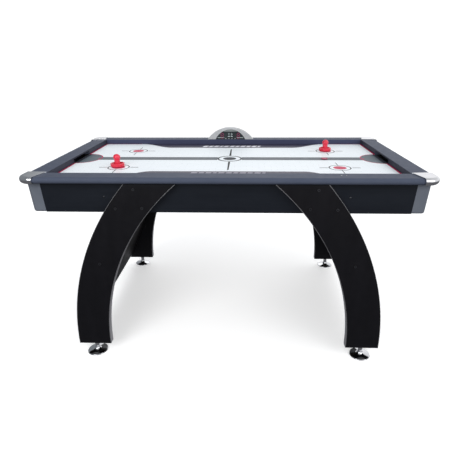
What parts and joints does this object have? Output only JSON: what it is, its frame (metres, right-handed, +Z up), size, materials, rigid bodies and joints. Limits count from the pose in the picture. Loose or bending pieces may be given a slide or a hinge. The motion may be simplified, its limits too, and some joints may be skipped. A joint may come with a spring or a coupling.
{
  "type": "air hockey table",
  "caption": "Air hockey table on curved slab legs, with goals, blower, arched scorer, sliding pushers and a puck.",
  "frame": {"origin": "on the floor under the middle of the table", "axes": "+X along the table, +Y to the scorer side, +Z up"},
  "size_m": [1.526, 0.916, 0.831],
  "materials": {
    "rail_laminate": "satin vinyl over board",
    "apron_laminate": "dark blue-black laminate",
    "corner_silver": "satin silver-grey",
    "cap_chrome": "polished",
    "field_laminate": "smooth white laminate with printed markings",
    "raw_board": "raw fibreboard",
    "leg_laminate": "black laminate",
    "trim_silver": "brushed",
    "foot_chrome": "polished",
    "bolt_black": "black oxide",
    "insert_brass": "turned",
    "black_plastic": "moulded",
    "motor_steel": "zinc plated",
    "scorer_silver": "silver painted plastic",
    "scorer_glass": "dark smoked window",
    "circuit_green": "solder mask",
    "button_white": "moulded",
    "start_white": "moulded",
    "lamp_clear": "clear lens",
    "rocker_red": "moulded",
    "pusher_red": "moulded",
    "pad_felt": "felt",
    "puck_red": "moulded"
  },
  "bodies": {
    "table": {"back_apron": "apron_laminate", "back_rail": "rail_laminate", "blower_case": "black_plastic", "blower_guard": "black_plastic", "blower_motor": "motor_steel", "chamber_bottom": "raw_board", "chamber_end_bars": "raw_board", "chamber_ribs": "raw_board", "chamber_side_bars": "raw_board", "corner_apron_back_left": "corner_silver", "corner_apron_back_right": "corner_silver", "corner_apron_front_left": "corner_silver", "corner_apron_front_right": "corner_silver", "corner_cap_back_left": "cap_chrome", "corner_cap_back_right": "cap_chrome", "corner_cap_front_left": "cap_chrome", "corner_cap_front_right": "cap_chrome", "end_panel_left": "leg_laminate", "end_panel_right": "leg_laminate", "front_apron": "apron_laminate", "front_rail": "rail_laminate", "glue_blocks": "raw_board", "goal_tray_left": "black_plastic", "goal_tray_right": "black_plastic", "left_apron": "apron_laminate", "left_rail": "rail_laminate", "leg_back_left": "leg_laminate", "leg_back_right": "leg_laminate", "leg_bolts": "bolt_black", "leg_front_left": "leg_laminate", "leg_front_right": "leg_laminate", "leg_trim_back": "trim_silver", "leg_trim_front": "trim_silver", "leveller_inserts": "insert_brass", "playfield": "field_laminate", "power_inlet": "black_plastic", "power_lamp": "lamp_clear", "right_apron": "apron_laminate", "right_rail": "rail_laminate", "scorer_back": "black_plastic", "scorer_board": "circuit_green", "scorer_frame": "scorer_silver", "scorer_window": "scorer_glass"},
    "leveller_front_left": {"leveller_front_left": "foot_chrome"},
    "leveller_front_right": {"leveller_front_right": "foot_chrome"},
    "leveller_back_left": {"leveller_back_left": "foot_chrome"},
    "leveller_back_right": {"leveller_back_right": "foot_chrome"},
    "blower_wheel": {"blower_wheel": "black_plastic"},
    "score_button_1": {"score_button_1": "button_white"},
    "score_button_2": {"score_button_2": "button_white"},
    "score_button_3": {"score_button_3": "button_white"},
    "score_button_4": {"score_button_4": "button_white"},
    "start_button": {"start_button": "start_white"},
    "power_rocker": {"power_rocker": "rocker_red"},
    "pusher_left": {"pusher_left": "pusher_red", "pusher_pad_left": "pad_felt"},
    "pusher_right": {"pusher_right": "pusher_red", "pusher_pad_right": "pad_felt"},
    "puck": {"puck": "puck_red"}
  },
  "joints": [
    {"name": "leveller_front_left_screw", "type": "slide", "parent": "table", "child": "leveller_front_left", "axis": [0, 0, -1], "range_m": [-0.003, 0.012]},
    {"name": "leveller_front_right_screw", "type": "slide", "parent": "table", "child": "leveller_front_right", "axis": [0, 0, -1], "range_m": [-0.003, 0.012]},
    {"name": "leveller_back_left_screw", "type": "slide", "parent": "table", "child": "leveller_back_left", "axis": [0, 0, -1], "range_m": [-0.003, 0.012]},
    {"name": "leveller_back_right_screw", "type": "slide", "parent": "table", "child": "leveller_back_right", "axis": [0, 0, -1], "range_m": [-0.003, 0.012]},
    {"name": "blower_wheel_spin", "type": "hinge", "parent": "table", "child": "blower_wheel", "pos_m": [0, 0, 0.65], "axis": [0, 0, 1], "continuous": true},
    {"name": "score_button_1_press", "type": "slide", "parent": "table", "child": "score_button_1", "axis": [0, 1, 0], "range_m": [0, 0.0012], "stiffness_N_per_m": 300, "springref_m": -0.001},
    {"name": "score_button_2_press", "type": "slide", "parent": "table", "child": "score_button_2", "axis": [0, 1, 0], "range_m": [0, 0.0012], "stiffness_N_per_m": 300, "springref_m": -0.001},
    {"name": "score_button_3_press", "type": "slide", "parent": "table", "child": "score_button_3", "axis": [0, 1, 0], "range_m": [0, 0.0012], "stiffness_N_per_m": 300, "springref_m": -0.001},
    {"name": "score_button_4_press", "type": "slide", "parent": "table", "child": "score_button_4", "axis": [0, 1, 0], "range_m": [0, 0.0012], "stiffness_N_per_m": 300, "springref_m": -0.001},
    {"name": "start_button_press", "type": "slide", "parent": "table", "child": "start_button", "axis": [0, 0, -1], "range_m": [0, 0.001], "stiffness_N_per_m": 300, "springref_m": -0.001},
    {"name": "power_rocker_tilt", "type": "hinge", "parent": "table", "child": "power_rocker", "pos_m": [0.073, 0.399, 0.684], "axis": [1, 0, 0], "range_deg": [-8, 8]},
    {"name": "pusher_left_slide", "type": "slide", "parent": "table", "child": "pusher_left", "axis": [1, 0, 0], "range_m": [-0.17, 0.43]},
    {"name": "pusher_right_slide", "type": "slide", "parent": "table", "child": "pusher_right", "axis": [1, 0, 0], "range_m": [-0.43, 0.17]},
    {"name": "puck_slide", "type": "slide", "parent": "table", "child": "puck", "axis": [1, 0, 0], "range_m": [-1.08, 0.23]}
  ]
}
